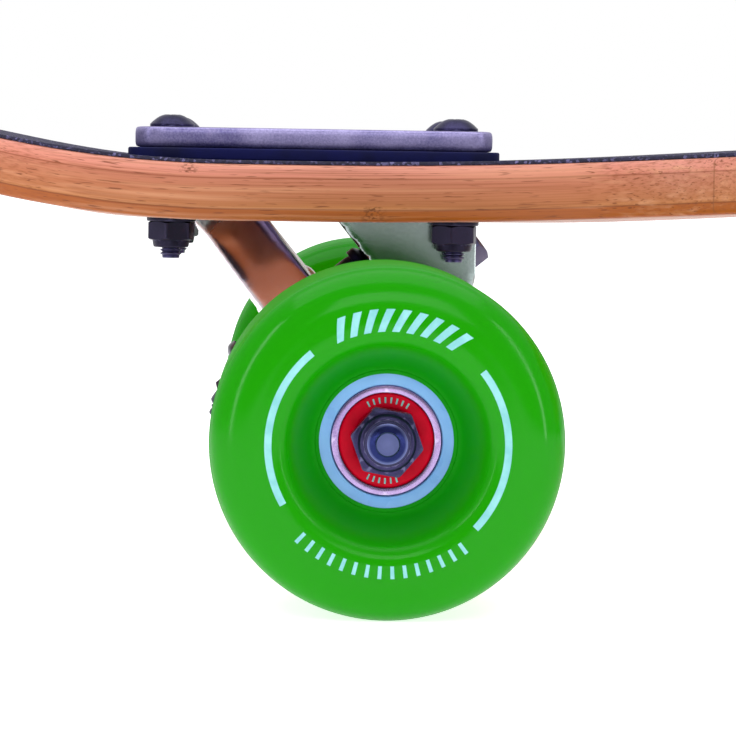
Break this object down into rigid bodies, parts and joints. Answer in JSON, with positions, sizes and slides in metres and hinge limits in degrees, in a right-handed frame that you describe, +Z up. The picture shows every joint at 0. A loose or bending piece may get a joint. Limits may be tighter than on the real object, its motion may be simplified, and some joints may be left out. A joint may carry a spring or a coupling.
{
  "type": "longboard skateboard",
  "caption": "Drop-through longboard: bamboo deck with kicked tips and grip tape, reverse-kingpin trucks that steer on bushings, and urethane wheels that spin on bearings.",
  "frame": {"origin": "on the ground, under the middle of the board", "axes": "+X along the board towards its rear end, +Z up, -Y is the side nearest the viewer of the picture"},
  "size_m": [1.016, 0.257, 0.103],
  "materials": {
    "bamboo": "satin lacquer",
    "grip": "abrasive grit",
    "satin_alloy": "satin",
    "bright_alloy": "polished",
    "pad_rubber": "matte",
    "bushing_urethane": "satin",
    "nylon": "matte",
    "nylon_nut": "satin",
    "axle_steel": "turned",
    "black_steel": "black oxide",
    "bolt_steel": "zinc plated",
    "zinc_steel": "zinc plated",
    "urethane": "gloss",
    "core": "semi gloss",
    "bearing": "steel with a coloured shield"
  },
  "bodies": {
    "root": {"deck": "bamboo", "grip_tape": "grip", "front_base_plate": "satin_alloy", "front_riser_pad": "pad_rubber", "front_pivot_cup": "nylon", "front_kingpin": "black_steel", "front_kingpin_nut": "zinc_steel", "front_boardside_bushing": "bushing_urethane", "front_roadside_bushing": "bushing_urethane", "front_boardside_washer": "zinc_steel", "front_roadside_washer": "zinc_steel", "front_mount_bolt_1": "bolt_steel", "front_mount_bolt_2": "bolt_steel", "front_mount_bolt_3": "bolt_steel", "front_mount_bolt_4": "bolt_steel", "front_mount_nut_1": "zinc_steel", "front_mount_nut_2": "zinc_steel", "front_mount_nut_3": "zinc_steel", "front_mount_nut_4": "zinc_steel", "rear_base_plate": "satin_alloy", "rear_riser_pad": "pad_rubber", "rear_pivot_cup": "nylon", "rear_kingpin": "black_steel", "rear_kingpin_nut": "zinc_steel", "rear_boardside_bushing": "bushing_urethane", "rear_roadside_bushing": "bushing_urethane", "rear_boardside_washer": "zinc_steel", "rear_roadside_washer": "zinc_steel", "rear_mount_bolt_1": "bolt_steel", "rear_mount_bolt_2": "bolt_steel", "rear_mount_bolt_3": "bolt_steel", "rear_mount_bolt_4": "bolt_steel", "rear_mount_nut_1": "zinc_steel", "rear_mount_nut_2": "zinc_steel", "rear_mount_nut_3": "zinc_steel", "rear_mount_nut_4": "zinc_steel"},
    "front_hanger_set": {"front_hanger": "bright_alloy", "front_axle": "axle_steel", "front_left_axle_nut": "nylon_nut", "front_right_axle_nut": "nylon_nut"},
    "front_left_wheel": {"front_left_tyre": "urethane", "front_left_core": "core", "front_left_outer_bearing": "bearing", "front_left_inner_bearing": "bearing"},
    "front_right_wheel": {"front_right_tyre": "urethane", "front_right_core": "core", "front_right_outer_bearing": "bearing", "front_right_inner_bearing": "bearing"},
    "rear_hanger_set": {"rear_hanger": "bright_alloy", "rear_axle": "axle_steel", "rear_left_axle_nut": "nylon_nut", "rear_right_axle_nut": "nylon_nut"},
    "rear_left_wheel": {"rear_left_tyre": "urethane", "rear_left_core": "core", "rear_left_outer_bearing": "bearing", "rear_left_inner_bearing": "bearing"},
    "rear_right_wheel": {"rear_right_tyre": "urethane", "rear_right_core": "core", "rear_right_outer_bearing": "bearing", "rear_right_inner_bearing": "bearing"}
  },
  "joints": [
    {"name": "front_steer", "type": "hinge", "parent": "root", "child": "front_hanger_set", "pos_m": [-0.3857, 0, 0.03487], "axis": [-0.6293, 0, 0.7771], "range_deg": [-16, 16], "stiffness_Nm_per_rad": 40, "deforming": ["front_boardside_bushing", "front_roadside_bushing"]},
    {"name": "front_left_roll", "type": "hinge", "parent": "front_hanger_set", "child": "front_left_wheel", "pos_m": [-0.3857, -0.103, 0.03487], "axis": [0, 1, 0], "continuous": true},
    {"name": "front_right_roll", "type": "hinge", "parent": "front_hanger_set", "child": "front_right_wheel", "pos_m": [-0.3857, 0.103, 0.03487], "axis": [0, 1, 0], "continuous": true},
    {"name": "rear_steer", "type": "hinge", "parent": "root", "child": "rear_hanger_set", "pos_m": [0.3857, 0, 0.03487], "axis": [0.6293, 0, 0.7771], "range_deg": [-16, 16], "stiffness_Nm_per_rad": 40, "deforming": ["rear_boardside_bushing", "rear_roadside_bushing"]},
    {"name": "rear_left_roll", "type": "hinge", "parent": "rear_hanger_set", "child": "rear_left_wheel", "pos_m": [0.3857, -0.103, 0.03487], "axis": [0, 1, 0], "continuous": true},
    {"name": "rear_right_roll", "type": "hinge", "parent": "rear_hanger_set", "child": "rear_right_wheel", "pos_m": [0.3857, 0.103, 0.03487], "axis": [0, 1, 0], "continuous": true}
  ]
}
